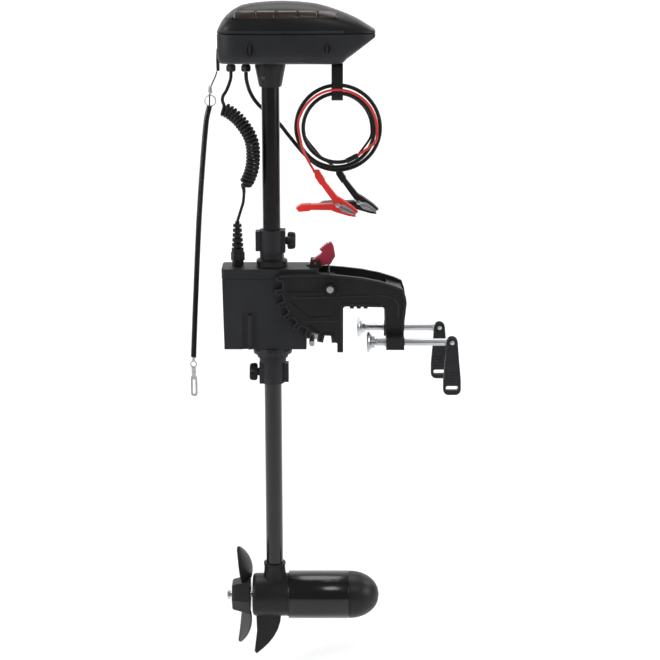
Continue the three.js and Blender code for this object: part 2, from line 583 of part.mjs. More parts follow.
// ---------- cords ----------
function cords() {
  add("curly_lead_top", "rubber", tube(
    [[-177, 0, 419.9], [-178, -1, 408], [-185, -4, 390], [-195, -7, 377], [-198.5, -8, 370],
      [-195.6, -8, 365.4]],
    2.4, 8, 16));
  add("curly_cord", "rubber", tube(
    [[-193, -8, 364], [-182, -8, 358.5], [-169, -9, 349], [-157, -11, 335], [-147.5, -12, 318],
      [-143.5, -12, 301], [-143.5, -12, 284], [-146, -11, 266], [-153, -9, 248], [-158, -7, 239.5]],
    10.3, 10, 28));
  add("curly_lead_bottom", "rubber", tube(
    [[-158.7, -6.8, 237.4], [-159, -4, 228], [-160.5, -2, 213], [-165, 0, 198], [-170.4, 0, 181.2]],
    2.4, 8, 16));
  add("power_cable", "rubber", tube(
    [[-153.4, 0, 419.6], [-153.4, 0, 414], [-152.6, 4, 404], [-148, 16, 386], [-138, 26, 368],
      [-120, 31, 350], [-103, 29, 335], [-86, 20, 315], [-72, 14, 300]],
    3.3, 8, 30));
  const ringProfile = [];
  for (let i = 0; i <= 8; i += 1) {
    const t = (2 * Math.PI * i) / 8;
    ringProfile.push([COIL.major + COIL.minor * Math.cos(t), COIL.minor * Math.sin(t)]);
  }
  add("cable_coil", "rubber", turned(ringProfile, "y", [COIL.x, 0, COIL.z], 32));
  add("coil_tie", "rubber", cut(
    plateYZ(rounded(-17, 17, 376, 433.5, 6), COIL.x - 9, COIL.x + 9),
    plateYZ(rounded(-15, 15, 378, 431.5, 5), COIL.x - 10, COIL.x + 10),
  ));
}

// A battery clip: two sprung halves on one hinge pin, with jaws, handles and grips.
function batteryClip(colour, finish, hinge, turn, y) {
  const half = CLIP.width / 2;
  const place = (body) => {
    const g = shapeOf(body);
    g.scale(CLIP.scale, 1, CLIP.scale);
    g.rotateY(THREE.MathUtils.degToRad(turn)).translate(hinge[0], y, hinge[1]);
    return solid(g);
  };
  const arm = [[-50, 34], [-56, 27], [-10, 1.9], [38, 1.7], [40, 5], [28, 9], [4, 13], [-8, 14]];
  const boot = [[-46, 20], [-62, 29.5], [-68, 39], [-60, 43], [-42, 32]];
  const below = (points) => points.map(([x, z]) => [x, -z]).reverse();
  const upper = join(plateXZ(arm, -half, half), plateXZ(boot, -half - 0.5, half + 0.5));
  const knuckle = rod("y", 5, -half + 5, half - 5, [0, 0, 0], 16);
  const gap = rod("y", 5.3, -half + 4.6, half - 4.6, [0, 0, 0], 16);
  const lowerBoot = plateXZ(below(boot), -half - 0.5, half + 0.5);
  const lower = join(plateXZ(below(arm), -half, half), lowerBoot, knuckle);
  add(`${colour}_clip_upper`, finish, place(upper.subtract(gap)));
  add(`${colour}_clip_lower`, finish, place(lower));
}

function batteryLeads() {
  add("red_lead", "red_rubber", tube(
    [[-66, -14.5, 305], [-61, -18, 292], [-54, -21, 279], [-48.5, -21, 269.5]], 2, 8, 12));
  add("black_lead", "rubber", tube(
    [[-40, 15, 288], [-32, 19, 279], [-22, 22, 272], [-14.5, 21, 266.5]], 1.9, 8, 10));
  batteryClip("red", "red_rubber", [-9, 212], 26, -21);
  batteryClip("black", "satin_black", [25, 209], 26, 21);
}

function lanyard() {
  add("lanyard_cord", "rubber", tube(
    [[-199.2, 0, 420.4], [-202, 0, 412], [-208, 0, 399], [-211, 0, 386], [-212, 0, 366]], 1.2, 8, 14));
  add("lanyard_coil", "rubber", tube(
    [[-212.2, 0, 365.5], [-219, 0, 330], [-231, 0, 200], [-240, 0, 60], [-246, 0, -46]], 4.8, 8, 16));
  const loop = plateXZ([...arc(-246, -58, 6, 0, 360, 16)].slice(0, -1), -1, 1)
    .subtract(plateXZ([...arc(-246, -58, 4, 0, 360, 16)].slice(0, -1), -2, 2));
  const swivel = rod("z", 4, -78, -63, [-246, 0, 0], 16);
  const hook = plateXZ(rounded(-251.5, -240.5, -113, -77, 5, 4), -1.6, 1.6)
    .subtract(plateXZ(rounded(-248, -244, -109.5, -84, 1.9, 3), -3, 3));
  const neck = rod("z", 2.5, -53, -46.4, [-246, 0, 0], 12);
  add("snap_hook", "zinc", join(loop, swivel, hook, neck));
}

headParts();
headFittings();
shaftTube();
podParts();
propeller();
housingParts();
steeringParts();
collar("upper_collar", 131.5, 167.7, 1);
collar("lower_collar", -88.4, -53.2, -1);
knob("upper_knob", 149.6, 1);
knob("lower_knob", -70.8, -1);
leverParts();
clampParts();
clampScrew("near", -1, 42);
clampScrew("far", 1, 28);
cords();
batteryLeads();
lanyard();

export default group;
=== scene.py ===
"""Transom-mount electric trolling motor: materials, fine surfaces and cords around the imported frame."""
import json
import math

import bmesh
import bpy
import numpy as np
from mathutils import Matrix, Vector


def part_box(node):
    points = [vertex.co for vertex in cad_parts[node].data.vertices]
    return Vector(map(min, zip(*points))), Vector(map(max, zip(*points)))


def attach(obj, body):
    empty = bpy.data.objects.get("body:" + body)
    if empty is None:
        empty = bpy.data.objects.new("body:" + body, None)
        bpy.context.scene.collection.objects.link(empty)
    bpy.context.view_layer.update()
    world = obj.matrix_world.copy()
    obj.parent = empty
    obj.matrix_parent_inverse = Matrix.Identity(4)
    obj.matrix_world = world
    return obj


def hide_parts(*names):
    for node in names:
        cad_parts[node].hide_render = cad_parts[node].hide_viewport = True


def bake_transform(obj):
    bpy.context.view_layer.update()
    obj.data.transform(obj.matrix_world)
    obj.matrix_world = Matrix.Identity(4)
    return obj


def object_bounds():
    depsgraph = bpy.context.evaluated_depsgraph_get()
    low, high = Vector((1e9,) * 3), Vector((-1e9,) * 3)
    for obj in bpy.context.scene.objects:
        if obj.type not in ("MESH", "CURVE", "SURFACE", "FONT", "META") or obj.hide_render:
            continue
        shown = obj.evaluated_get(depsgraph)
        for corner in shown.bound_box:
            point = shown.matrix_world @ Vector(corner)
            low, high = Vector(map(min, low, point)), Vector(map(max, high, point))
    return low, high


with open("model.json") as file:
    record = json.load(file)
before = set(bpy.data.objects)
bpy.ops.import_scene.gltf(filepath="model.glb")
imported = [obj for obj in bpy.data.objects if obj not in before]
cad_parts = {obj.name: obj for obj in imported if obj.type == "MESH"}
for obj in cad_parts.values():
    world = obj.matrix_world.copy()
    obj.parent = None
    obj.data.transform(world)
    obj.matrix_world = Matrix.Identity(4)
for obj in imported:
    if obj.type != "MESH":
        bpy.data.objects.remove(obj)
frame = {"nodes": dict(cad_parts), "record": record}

cad_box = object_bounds()
MM = 0.001
SHAFT_X = -0.1154
SHAFT_R = 0.0143
POD_Z = -0.468
POD_R = 0.0407
SEAM = 0.482
COVER_POWER = 2.9
BASE_POWER = 6.0
BASE_TUCK = 0.06
TILT_DOWN = 14.7
LENS = 87.3

# ---------- camera, light and stage ----------


def camera_and_light():
    camera = bpy.data.cameras.new("camera")
    camera.sensor_width = 36.0
    camera.lens = LENS
    camera.clip_end = 50
    eye = bpy.data.objects.new("camera", camera)
    eye.location = (-0.0213, -2.538, 0.6658)
    eye.rotation_euler = (math.radians(90 - TILT_DOWN), 0, 0)
    bpy.context.collection.objects.link(eye)
    bpy.context.scene.camera = eye
    lamps = [
        ("key_left", (-2.4, -1.1, 0.9), 1.1, 38),
        ("fill_right", (2.4, -0.9, 0.7), 0.9, 30),
        ("front_soft", (0.9, -2.6, 2.9), 1.0, 26),
        ("top_soft", (0.0, 0.9, 2.9), 2.0, 60),
        ("sweep_left", (-2.6, 1.4, 1.8), 1.6, 60),
        ("sweep_right", (2.6, 1.4, 1.8), 1.6, 60),
    ]
    for name, place, size, power in lamps:
        lamp = bpy.data.lights.new(name, "AREA")
        lamp.size = size
        lamp.energy = power
        holder = bpy.data.objects.new(name, lamp)
        holder.location = place
        target = Vector((0, 3.0, 0.6)) if name.startswith("sweep") else Vector((-0.05, 0, 0.05))
        aim = target - Vector(place)
        holder.rotation_euler = aim.to_track_quat("-Z", "Y").to_euler()
        bpy.context.collection.objects.link(holder)
    world = bpy.data.worlds.new("studio")
    world.use_nodes = True
    world.node_tree.nodes["Background"].inputs[0].default_value = (1, 1, 1, 1)
    world.node_tree.nodes["Background"].inputs[1].default_value = 0.16
    bpy.context.scene.world = world
    bpy.context.scene.view_settings.view_transform = "Standard"
    bpy.context.scene.view_settings.exposure = -0.25


# ---------- materials ----------


def finish_material(name, colour, rough, metal=0.0, grain=900.0, bump=0.12, vary=0.18, coat=0.0, streak=None,
                    shine=0.5):
    """A moulded, plated or painted finish with fine grain, broad tone variation and uneven roughness."""
    material = bpy.data.materials.new(name)
    material.use_nodes = True
    nodes, links = material.node_tree.nodes, material.node_tree.links
    shader = nodes["Principled BSDF"]
    shader.inputs["Metallic"].default_value = metal
    shader.inputs["Coat Weight"].default_value = coat
    shader.inputs["Coat Roughness"].default_value = 0.12
    shader.inputs["Specular IOR Level"].default_value = shine
    place = nodes.new("ShaderNodeTexCoord")
    stretch = nodes.new("ShaderNodeMapping")
    stretch.inputs["Scale"].default_value = streak or (1, 1, 1)
    links.new(place.outputs["Object"], stretch.inputs["Vector"])
    broad = nodes.new("ShaderNodeTexNoise")
    broad.inputs["Scale"].default_value = 14
    broad.inputs["Detail"].default_value = 5
    fine = nodes.new("ShaderNodeTexNoise")
    fine.inputs["Scale"].default_value = grain
    fine.inputs["Detail"].default_value = 3
    links.new(stretch.outputs["Vector"], broad.inputs["Vector"])
    links.new(stretch.outputs["Vector"], fine.inputs["Vector"])
    ramp = nodes.new("ShaderNodeValToRGB")
    low = [c * (1 - vary) for c in colour]
    high = [min(1, c * (1 + vary) + 0.002) for c in colour]
    ramp.color_ramp.elements[0].position = 0.3
    ramp.color_ramp.elements[0].color = (*low, 1)
    ramp.color_ramp.elements[1].position = 0.7
    ramp.color_ramp.elements[1].color = (*high, 1)
    links.new(broad.outputs["Fac"], ramp.inputs["Fac"])
    links.new(ramp.outputs["Color"], shader.inputs["Base Color"])
    spread = nodes.new("ShaderNodeMapRange")
    spread.inputs["To Min"].default_value = rough * 0.85
    spread.inputs["To Max"].default_value = min(1, rough * 1.18)
    links.new(fine.outputs["Fac"], spread.inputs["Value"])
    links.new(spread.outputs["Result"], shader.inputs["Roughness"])
    relief = nodes.new("ShaderNodeBump")
    relief.inputs["Strength"].default_value = bump
    relief.inputs["Distance"].default_value = 0.0003
    links.new(fine.outputs["Fac"], relief.inputs["Height"])
    links.new(relief.outputs["Normal"], shader.inputs["Normal"])
    return material


MATERIALS = {
    "gloss_black": finish_material("gloss_black", (0.006, 0.0062, 0.0072), 0.2, grain=500, bump=0.04,
                                   coat=0.25, shine=0.4),
    "satin_black": finish_material("satin_black", (0.0105, 0.0108, 0.0122), 0.4, bump=0.16, shine=0.28),
    "charcoal": finish_material("charcoal", (0.0165, 0.0172, 0.0198), 0.5, bump=0.3, grain=1300,
                                shine=0.3),
    "smoke": finish_material("smoke", (0.026, 0.015, 0.011), 0.34, coat=0.15, bump=0.03),
    "zinc": finish_material("zinc", (0.56, 0.57, 0.59), 0.3, metal=1.0, bump=0.1, streak=(1, 1, 6)),
    "brass": finish_material("brass", (0.6, 0.42, 0.17), 0.35, metal=1.0),
    "copper": finish_material("copper", (0.55, 0.25, 0.13), 0.4, metal=1.0, streak=(1, 9, 9)),
    "crimson": finish_material("crimson", (0.34, 0.014, 0.042), 0.36, coat=0.15, bump=0.1),
    "green": finish_material("green", (0.02, 0.11, 0.05), 0.4, vary=0.35),
    "ferrite": finish_material("ferrite", (0.05, 0.052, 0.058), 0.6, bump=0.4),
    "rubber": finish_material("rubber", (0.007, 0.007, 0.0078), 0.45, bump=0.14, shine=0.3),
    "red_rubber": finish_material("red_rubber", (0.72, 0.022, 0.016), 0.42, bump=0.12),
}


def finish_of(node):
    """The finish that the record gives a CAD node."""
    slots = {part["node"]: part["material_slot"] for part in frame["record"]["subparts"]}
    return slots[node]


# ---------- mesh helpers ----------


def new_piece(name, vertices, faces, finish, smooth=True):
    mesh = bpy.data.meshes.new(name)
    mesh.from_pydata([tuple(v) for v in vertices], [], faces)
    mesh.validate()
    mesh.materials.append(MATERIALS[finish])
    piece = bpy.data.objects.new(name, mesh)
    bpy.context.collection.objects.link(piece)
    for polygon in mesh.polygons:
        polygon.use_smooth = smooth
    return piece


def soften(piece, width=0.0008, segments=2, angle=40):
    bevel = piece.modifiers.new("edge", "BEVEL")
    bevel.width = width
    bevel.segments = segments
    bevel.limit_method = "ANGLE"
    bevel.angle_limit = math.radians(angle)
    bevel.harden_normals = True
    return piece


def to_axis(axis, along, a, b):
    if axis == "x":
        return along, a, b
    if axis == "y":
        return a, along, b
    return a, b, along


def turned(name, profile, axis, at, finish, sides=96):
    """A closed solid of revolution from (radius, height) pairs; ends on the axis close to a point."""
    vertices, faces, rings = [], [], []
    for r, h in profile:
        if r < 1e-7:
            vertices.append(np.array(to_axis(axis, h, 0, 0)) + at)
            rings.append([len(vertices) - 1] * sides)
            continue
        first = len(vertices)
        for i in range(sides):
            t = 2 * math.pi * i / sides
            vertices.append(np.array(to_axis(axis, h, r * math.cos(t), r * math.sin(t))) + at)
        rings.append(list(range(first, first + sides)))
    closed = profile[0] != profile[-1] and profile[0][0] > 0
    pairs = list(zip(rings, rings[1:])) + ([(rings[-1], rings[0])] if closed else [])
    for lower, upper in pairs:
        for i in range(sides):
            j = (i + 1) % sides
            face = []
            for v in (lower[i], lower[j], upper[j], upper[i]):
                if v not in face:
                    face.append(v)
            if len(face) > 2:
                faces.append(face if axis != "y" else face[::-1])
    piece = new_piece(name, vertices, faces, finish)
    return fix_normals(piece)


def fix_normals(piece):
    """Merge doubled points and turn every face outward."""
    work = bmesh.new()
    work.from_mesh(piece.data)
    bmesh.ops.remove_doubles(work, verts=work.verts, dist=1e-7)
    bmesh.ops.recalc_face_normals(work, faces=work.faces)
    work.to_mesh(piece.data)
    work.free()
    return piece


def prism(name, points, axis, low, high, finish, width=0.0008):
    """An outline of (a, b) pairs, pushed along an axis, with rounded edges."""
    count = len(points)
    vertices = [to_axis(axis, low, a, b) for a, b in points] + [to_axis(axis, high, a, b) for a, b in points]
    faces = [[i, (i + 1) % count, count + (i + 1) % count, count + i] for i in range(count)]
    faces += [list(range(count))[::-1], list(range(count, 2 * count))]
    piece = fix_normals(new_piece(name, vertices, faces, finish))
    return soften(piece, width)


def spline(points, per_gap=14):
    """Points along a smooth curve through the given ones."""
    p = [np.array(q, float) for q in points]
    p = [2 * p[0] - p[1], *p, 2 * p[-1] - p[-2]]
    out = []
    for i in range(1, len(p) - 2):
        for k in range(per_gap):
            t = k / per_gap
            a, b, c, d = p[i - 1], p[i], p[i + 1], p[i + 2]
            out.append(0.5 * (2 * b + (c - a) * t + (2 * a - 5 * b + 4 * c - d) * t * t
                              + (3 * b - a - 3 * c + d) * t ** 3))
    return [*out, p[-2]]


def even(points, step):
    """The same line with points an even step apart."""
    p = np.array(points)
    run = np.concatenate([[0], np.cumsum(np.linalg.norm(np.diff(p, axis=0), axis=1))])
    count = max(2, round(run[-1] / step))
    want = np.linspace(0, run[-1], count + 1)
    return np.stack([np.interp(want, run, p[:, k]) for k in range(3)], axis=1)


def line_length(points):
    return float(np.linalg.norm(np.diff(np.array(points), axis=0), axis=1).sum())


def frames_along(points):
    """A tangent and two side directions at each point, carried along without twist."""
    p = np.array(points)
    tangents = np.gradient(p, axis=0)
    tangents /= np.linalg.norm(tangents, axis=1)[:, None]
    side = np.cross(tangents[0], (0.12, 1, 0.07))
    side /= np.linalg.norm(side)
    sides = []
    for t in tangents:
        side = side - t * (side @ t)
        side /= np.linalg.norm(side)
        sides.append(side.copy())
    sides = np.array(sides)
    return tangents, sides, np.cross(tangents, sides)


def tube(name, points, radius, finish, sides=10):
    """A mesh tube whose rings centre on the points; radius is one number or one for each point."""
    p = np.array(points)
    radii = np.full(len(p), radius) if np.isscalar(radius) else np.array(radius)
    _, a, b = frames_along(p)
    turn = 2 * math.pi * np.arange(sides) / sides
    rings = (p[:, None] + radii[:, None, None] * (np.cos(turn)[None, :, None] * a[:, None]
                                                  + np.sin(turn)[None, :, None] * b[:, None]))
    vertices = [*rings.reshape(-1, 3)]
    faces = []
    for i in range(len(p) - 1):
        for k in range(sides):
            j = (k + 1) % sides
            faces.append([i * sides + k, i * sides + j, (i + 1) * sides + j, (i + 1) * sides + k])
    faces.append(list(range(sides))[::-1])
    last = (len(p) - 1) * sides
    faces.append([last + k for k in range(sides)])
    return fix_normals(new_piece(name, vertices, faces, finish))


def helix(points, radius, turns, per_turn=14, phase=0.0):
    """A coil of the radius wound round the line through the points."""
    count = int(turns * per_turn)
    base = even(points, line_length(points) / count)
    _, a, b = frames_along(base)
    t = phase + 2 * math.pi * turns * np.linspace(0, 1, len(base))
    return base + radius * (np.cos(t)[:, None] * a + np.sin(t)[:, None] * b)


# ---------- CAD nodes that stay ----------
WIDE_EDGES = ("steering_housing", "housing_lid", "near_clamp_plate", "far_clamp_plate", "arm_crossbar")


def finish_cad_nodes():
    """The record's finish and a rounded edge on every CAD node."""
    for name, node in frame["nodes"].items():
        finish = finish_of(name)
        node.data.materials.clear()
        node.data.materials.append(MATERIALS[finish])
        for polygon in node.data.polygons:
            polygon.use_smooth = True
        if name in WIDE_EDGES:
            width = 0.0014
        elif name.endswith(("clip_upper", "clip_lower")):
            width = 0.0022
        else:
            width = 0.0006
        soften(node, width, 3)


# ---------- head ----------
# Pairs of place along X and height or half width, in millimetres.
COVER_TOP = [(-196, 486), (-191, 497), (-183, 507.5), (-170, 517.5), (-152, 524.6), (-116, 528.6),
             (-82, 528.8), (-43, 525), (-10, 515.6), (19, 503.6), (38, 492.5), (49, 485.5)]
HALF_WIDTH = [(-196, 34), (-188, 45.5), (-168, 53.5), (-120, 57.2), (-60, 56.6), (-10, 50.6), (30, 40.6),
              (49, 30)]
BASE_BOTTOM = [(-195.5, 441), (-193.5, 436.5), (-189, 434.2), (-150, 434), (-60, 434), (-8, 434.2), (5, 442),
               (30, 460.5), (49, 475)]


def smooth_table(pairs, x):
    """A smooth value at x from pairs of place and value, in millimetres, returned in metres."""
    line = np.array(spline([(a, b, 0) for a, b in pairs], 12))
    return float(np.interp(x / MM, line[:, 0], line[:, 1])) * MM


def head_section(x, cover, steps=40):
    half = smooth_table(HALF_WIDTH, x)
    end = smooth_table(COVER_TOP, x) if cover else smooth_table(BASE_BOTTOM, x)
    height = end - SEAM
    power = 2 / (COVER_POWER if cover else BASE_POWER)
    points = []
    for i in range(steps + 1):
        t = math.pi * i / steps
        c, s = math.cos(t), math.sin(t)
        y = half * math.copysign(abs(c) ** power, c)
        if not cover:
            y *= 1 - BASE_TUCK * abs(s) ** 3
        lift = 0.0004 if cover else -0.0004
        points.append((x, y, SEAM + lift + (height - lift) * abs(s) ** power))
    return points


def head_shell(name, cover, finish):
    stations = np.concatenate([np.linspace(-0.196, -0.165, 12), np.linspace(-0.16, 0.0, 26),
                               np.linspace(0.005, 0.0489, 12)])
    vertices, faces = [], []
    rows = [head_section(float(x), cover) for x in stations]
    width = len(rows[0])
    for row in rows:
        vertices += row
    for i in range(len(rows) - 1):
        for k in range(width - 1):
            faces.append([i * width + k, i * width + k + 1, (i + 1) * width + k + 1, (i + 1) * width + k])
        faces.append([i * width + width - 1, i * width, (i + 1) * width, (i + 1) * width + width - 1])
    faces.append(list(range(width)))
    faces.append([(len(rows) - 1) * width + k for k in range(width)][::-1])
    piece = fix_normals(new_piece(name, vertices, faces, finish))
    return soften(piece, 0.0028, 4, 50)


def cover_side(x, z, out=0.0):
    """The cover's near surface at a place and a height."""
    half = smooth_table(HALF_WIDTH, x)
    share = min(0.999, (z - SEAM) / (smooth_table(COVER_TOP, x) - SEAM))
    return -(half * (1 - share ** COVER_POWER) ** (1 / COVER_POWER)) - out


def base_side(x, z):
    """The lower case's near surface at a place and a height."""
    bottom = smooth_table(BASE_BOTTOM, x)
    share = min(0.999, (SEAM - z) / (SEAM - bottom))
    sine = share ** (BASE_POWER / 2)
    cosine = math.sqrt(max(0.0, 1 - sine * sine))
    return -smooth_table(HALF_WIDTH, x) * cosine ** (2 / BASE_POWER) * (1 - BASE_TUCK * sine ** 3)


def window_panes():
    edges = [-0.184, -0.170, -0.136, -0.104, -0.0715, -0.041, -0.009]
    vertices, faces = [], []
    for left, right in zip(edges, edges[1:]):
        xs = np.linspace(left + 0.0007, right - 0.0007, 10)
        first = len(vertices)
        for x in xs:
            top = min(0.5165, smooth_table(COVER_TOP, x) - 0.0035)
            for share in np.linspace(0, 1, 6):
                z = 0.5055 + (top - 0.5055) * share
                vertices.append((x, cover_side(x, z, 0.0004), z))
        for i in range(9):
            for k in range(5):
                a = first + 6 * i + k
                faces.append([a, a + 6, a + 7, a + 1])
    piece = new_piece("window_panes", vertices, faces, "smoke")
    thick = piece.modifiers.new("thick", "SOLIDIFY")
    thick.thickness = 0.0009
    thick.offset = 1
    return piece


def head():
    cover = head_shell("cover_shell", True, "satin_black")
    base = head_shell("base_shell", False, "charcoal")
    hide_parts("head_cover")
    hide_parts("head_base")
    panes = window_panes()
    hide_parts("window_strip")
    parts = [cover, base, panes]
    rim = []
    for z, out in ((0.4832, 0.0006), (0.4846, 0.0012), (0.4862, 0.0012), (0.4874, 0.0003)):
        row = []
        for x in np.linspace(-0.1935, 0.0, 70):
            row.append((x, cover_side(x, z, out), z))
        rim.append(row)
    vertices = [p for row in rim for p in row]
    faces = [[70 * r + i, 70 * r + i + 1, 70 * (r + 1) + i + 1, 70 * (r + 1) + i] for r in range(3)
             for i in range(69)]
    lip = new_piece("cover_lip", vertices, faces, "charcoal")
    thick = lip.modifiers.new("thick", "SOLIDIFY")
    thick.thickness = 0.0006
    parts.append(lip)
    for index, (x, z, tall) in enumerate(((-0.144, 0.458, 0.0105), (-0.0255, 0.460, 0.0072))):
        y = base_side(x, z)
        slope = (base_side(x + 0.005, z) - base_side(x - 0.005, z)) / 0.01
        oval = [(x + 0.0056 * math.cos(t), z + tall * math.sin(t))
                for t in np.linspace(0, 2 * math.pi, 40)[:-1]]
        # Painted shade: a dark gloss-black oval laid nearly flush on the charcoal case, standing for the
        # shade inside each recess
        floor = prism(f"recess_painted_shade_{index + 1}", oval, "y", y - 0.0003, y + 0.002, "gloss_black", 0.0002)
        ring_points = [(x + 0.0060 * math.cos(t), y - 0.0005, z + (tall + 0.0004) * math.sin(t))
                       for t in np.linspace(0, 2 * math.pi, 64)]
        rim_ring = tube(f"recess_rim_{index + 1}", ring_points, 0.0007, "charcoal", 8)
        bar = [(x - 0.0020, z - tall + 0.001), (x + 0.0010, z - tall + 0.001),
               (x + 0.0010, z + tall - 0.001), (x - 0.0020, z + tall - 0.001)]
        boss = prism(f"recess_boss_{index + 1}", bar, "y", y - 0.0016, y + 0.001, "charcoal", 0.0006)
        for piece in (floor, rim_ring, boss):
            for vertex in piece.data.vertices:
                vertex.co.y += slope * (vertex.co.x - x)
            parts.append(piece)
    lug = [(-0.1995, 0.4215), (-0.1950, 0.4215), (-0.1950, 0.457), (-0.1965, 0.458), (-0.1990, 0.456),
           (-0.1999, 0.440)]
    parts.append(prism("lug_plate", lug, "y", -0.006, 0.006, "charcoal", 0.0007))
    for part in parts:
        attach(part, "shaft_unit")


# ---------- shaft, pod and propeller ----------


def shaft_and_pod():
    at = np.array((SHAFT_X, 0, 0))
    tube_body = turned("shaft_outer", [(0.0123, -0.436), (SHAFT_R, -0.436), (SHAFT_R, 0.44), (0.0123, 0.44)],
                       "z", at, "gloss_black")
    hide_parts("shaft_tube")
    pod = np.array((0, 0, POD_Z))
    sleeve = turned("pod_sleeve", [(0.0377, -0.0917), (0.0403, -0.0917), (POD_R, -0.091), (POD_R, 0.0096),
                                   (0.0403, 0.0103), (0.0377, 0.0103)], "x", pod, "gloss_black", 128)
    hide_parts("motor_sleeve")
    profile = [(0.030, 0.0106), (0.0399, 0.0106)]
    for i in range(1, 31):
        t = i / 30
        profile.append((0.0402 * math.sqrt(max(0.0, 1 - t ** 2.15)), 0.0106 + 0.0517 * t))
    nose = turned("pod_nose", [(0.0, 0.0106), *profile[1:-1], (0.0, 0.0623)], "x", pod, "satin_black", 128)
    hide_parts("nose_cone")
    boss = turned("boss_skin", [(0.0147, 0.3966), (0.0168, 0.3966), (0.0178, 0.3986), (0.0184, 0.4),
                                (0.0235, 0.426), (0.0242, 0.4285), (0.0242, 0.4333), (0.0147, 0.4333)],
                  "z", at, "satin_black")
    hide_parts("head_boss")
    head_screw = turned("boss_screw_head", [(0, -0.0218), (0.0018, -0.0218), (0.0026, -0.0210),
                                            (0.0034, -0.0208), (0.0034, -0.017), (0, -0.017)], "y",
                        np.array((SHAFT_X - 0.0098, 0, 0.413)), "ferrite", 32)
    rear = turned("pod_rear_skin", [(0.0058, -0.1532), (0.031, -0.1532), (0.0345, -0.152), (0.0363, -0.1485),
                                    (0.0365, -0.146), (0.0365, -0.0945), (0.0374, -0.0922), (0.034, -0.0922),
                                    (0.0335, -0.145), (0.0058, -0.149)], "x", pod, "satin_black", 128)
    neck = turned("pod_neck_skin", [(0.0146, -0.440), (0.0215, -0.440), (0.0195, -0.4315), (0.0183, -0.425),
                                    (0.0178, -0.4135), (0.0186, -0.4115), (0.0186, -0.4085), (0.0181, -0.408),
                                    (0.0146, -0.408)], "z", at, "satin_black")
    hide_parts("motor_rear_housing")
    for piece in (tube_body, sleeve, nose, boss, head_screw, rear, neck):
        soften(piece, 0.0004)
        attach(piece, "shaft_unit")


def blade(turn):
    """One twisted blade with a rounded tip and thin edges."""
    spans, chords = 22, 16
    vertices, faces = [], []
    for side in (1, -1):
        for i in range(spans + 1):
            t = i / spans
            out = 0.024 + 0.0636 * t
            belly = 0.042 * (0.36 + 0.3 * math.sin(math.pi * t ** 0.8))
            width = belly * math.sqrt(max(0.0, 1 - t ** 7)) + 0.0006
            pitch = math.radians(30 - 16 * t)
            for k in range(chords + 1):
                share = k / chords
                across = width * (-0.72 + 1.72 * share)
                thick = side * 0.0021 * (1.25 - 0.75 * t) * math.sin(math.pi * share) ** 0.6
                camber = 0.0022 * math.sin(math.pi * share)
                x = (thick + camber) * math.cos(pitch) + across * math.sin(pitch) - 0.014 * t * t - 0.165
                y = -(thick + camber) * math.sin(pitch) + across * math.cos(pitch)
                c, s = math.cos(turn), math.sin(turn)
                vertices.append((x, y * c - out * s, POD_Z + y * s + out * c))
    width = chords + 1
    sheet = (spans + 1) * width
    for i in range(spans):
        for k in range(chords):
            a = i * width + k
            faces.append([a, a + 1, a + width + 1, a + width])
            faces.append([sheet + a, sheet + a + width, sheet + a + width + 1, sheet + a + 1])
    for row in (0, spans):
        for k in range(chords):
            a = row * width + k
            faces.append([a, a + 1, sheet + a + 1, sheet + a])
    piece = new_piece(f"blade_{'upper' if turn == 0 else 'lower'}", vertices, faces, "satin_black")
    return fix_normals(piece)


def propeller():
    hub = turned("prop_hub", [(0.0054, -0.1885), (0.0242, -0.1885), (0.0262, -0.1868), (0.0272, -0.184),
                              (0.0342, -0.158), (0.0345, -0.1572), (0.013, -0.1572), (0.013, -0.165),
                              (0.0054, -0.165)], "x", np.array((0, 0, POD_Z)), "satin_black", 6)
    for polygon in hub.data.polygons:
        polygon.use_smooth = False
    soften(hub, 0.002, 4, 30)
    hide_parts("propeller")
    for piece in (hub, blade(0), blade(math.pi)):
        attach(piece, "propeller")


# ---------- steering housing details ----------


def strain_relief():
    """A ribbed boot over a six-sided nut."""
    base = np.array((-0.1706, 0, 0))
    profile = [(0.0032, 0.1312), (0.0098, 0.1312)]
    for i in range(6):
        z = 0.1325 + 0.0079 * i
        r = 0.0098 - 0.00058 * i
        profile += [(r, z), (r, z + 0.0046), (r - 0.0034, z + 0.0054), (r - 0.0034, z + 0.0074)]
    profile += [(0.0048, 0.1804), (0.0032, 0.1804)]
    boot = soften(turned("relief_boot", profile, "z", base, "rubber", 48), 0.0003)
    nut = turned("relief_nut", [(0.0034, 0.1082), (0.0095, 0.1082), (0.0095, 0.117), (0.0115, 0.117),
                                (0.0115, 0.1308), (0.0034, 0.1308)], "z", base, "satin_black", 6)
    for polygon in nut.data.polygons:
        polygon.use_smooth = False
    soften(nut, 0.0009, 3, 30)
    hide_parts("strain_relief")
    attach(boot, "housing")
    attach(nut, "housing")


# ---------- clamp screws and handles ----------


def clamp_screw(side):
    low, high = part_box(f"{side}_clamp_screw")
    y, z = (low[1] + high[1]) / 2, (low[2] + high[2]) / 2
    start = low[0]
    end = start + 0.1216
    at = np.array((0, y, z))
    profile = [(0, start), (0.0046, start), (0.0046, start + 0.0076)]
    pitch = 0.0025
    x = start + 0.0086
    while x < end - pitch:
        profile += [(0.0053, x), (0.00625, x + 0.45 * pitch), (0.00625, x + 0.6 * pitch)]
        x += pitch
    profile += [(0.0053, end), (0, end)]
    rod = turned(f"{side}_thread", profile, "x", at, "zinc", 40)
    pin = high[0] - 0.0055
    tang = [(end - 0.001, z - 0.0053), (pin, z - 0.0053), (pin + 0.004, z - 0.0036), (pin + 0.0053, z),
            (pin + 0.004, z + 0.0036), (pin, z + 0.0053), (end - 0.001, z + 0.0053)]
    tip = prism(f"{side}_tang", tang, "y", y - 0.0025, y + 0.0025, "zinc", 0.0005)
    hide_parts(f"{side}_clamp_screw")
    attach(rod, f"{side}_screw")
    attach(tip, f"{side}_screw")
    handle(side, pin, y, z)


